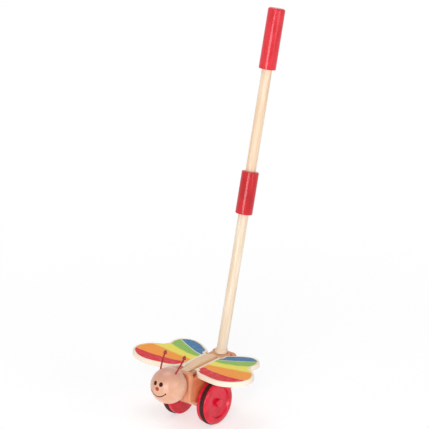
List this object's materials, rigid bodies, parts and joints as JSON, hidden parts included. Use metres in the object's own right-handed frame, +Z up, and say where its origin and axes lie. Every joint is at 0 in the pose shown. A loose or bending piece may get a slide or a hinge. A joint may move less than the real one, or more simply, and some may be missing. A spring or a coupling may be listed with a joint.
{
  "type": "toddler push toy",
  "caption": "Wooden butterfly push toy: ball head, hinged plywood wings, rubber-tyred wheels and a leaning push stick with a sleeve joint and a grip.",
  "frame": {"origin": "centre of the whole toy's footprint box, on the floor under the tyres", "axes": "+Z up, -Y the way the head faces, +X the toy's own left side; the axle lies along X"},
  "size_m": [0.2002, 0.2772, 0.5507],
  "materials": {
    "beech": "sanded, clear satin lacquer",
    "ball_beech": "turned, clear satin lacquer",
    "birch_ply": "sanded plywood with rainbow paint on top",
    "stick_beech": "sanded dowel, clear satin lacquer",
    "red_lacquer": "gloss red lacquer on wood",
    "stalk_red": "red gloss",
    "orange_lacquer": "red-orange gloss",
    "rubber": "matt moulded rubber",
    "steel": "drawn steel",
    "nylon": "moulded nylon"
  },
  "bodies": {
    "body": {"spine": "beech", "side_block_left": "beech", "side_block_right": "beech", "front_plate": "beech", "rear_plate": "beech", "stick_block": "beech", "cross_dowel_front": "beech", "cross_dowel_rear": "beech", "front_dowel_left": "beech", "front_dowel_right": "beech", "rear_dowel_left": "beech", "rear_dowel_right": "beech", "head_dowel": "beech", "hinge_spacer_rear_left": "beech", "hinge_spacer_rear_right": "beech", "head": "ball_beech", "lower_rod": "stick_beech", "upper_rod": "stick_beech", "stick_collar": "stick_beech", "axle_cap_left": "red_lacquer", "axle_cap_right": "red_lacquer", "connector_sleeve": "red_lacquer", "grip": "red_lacquer", "antenna_stalk_left": "stalk_red", "antenna_stalk_right": "stalk_red", "antenna_bead_left": "orange_lacquer", "antenna_bead_right": "orange_lacquer", "hinge_spacer_front_left": "rubber", "hinge_spacer_front_right": "rubber", "axle": "steel", "hinge_rod_left": "steel", "hinge_rod_right": "steel", "axle_washer_left": "nylon", "axle_washer_right": "nylon"},
    "wheel_left": {"wheel_left": "red_lacquer", "tyre_left": "rubber"},
    "wheel_right": {"wheel_right": "red_lacquer", "tyre_right": "rubber"},
    "wing_left": {"wing_left": "birch_ply"},
    "wing_right": {"wing_right": "birch_ply"}
  },
  "joints": [
    {"name": "wheel_left_spin", "type": "hinge", "parent": "body", "child": "wheel_left", "pos_m": [0.03, -0.05181, 0.032], "axis": [1, 0, 0], "continuous": true},
    {"name": "wheel_right_spin", "type": "hinge", "parent": "body", "child": "wheel_right", "pos_m": [-0.03, -0.05181, 0.032], "axis": [1, 0, 0], "continuous": true},
    {"name": "wing_left_flap", "type": "hinge", "parent": "body", "child": "wing_left", "pos_m": [0.01195, -0.03881, 0.0778], "axis": [0, -1, 0], "range_deg": [0, 86.5]},
    {"name": "wing_right_flap", "type": "hinge", "parent": "body", "child": "wing_right", "pos_m": [-0.01195, -0.03881, 0.0778], "axis": [0, 1, 0], "range_deg": [0, 86.5]}
  ]
}
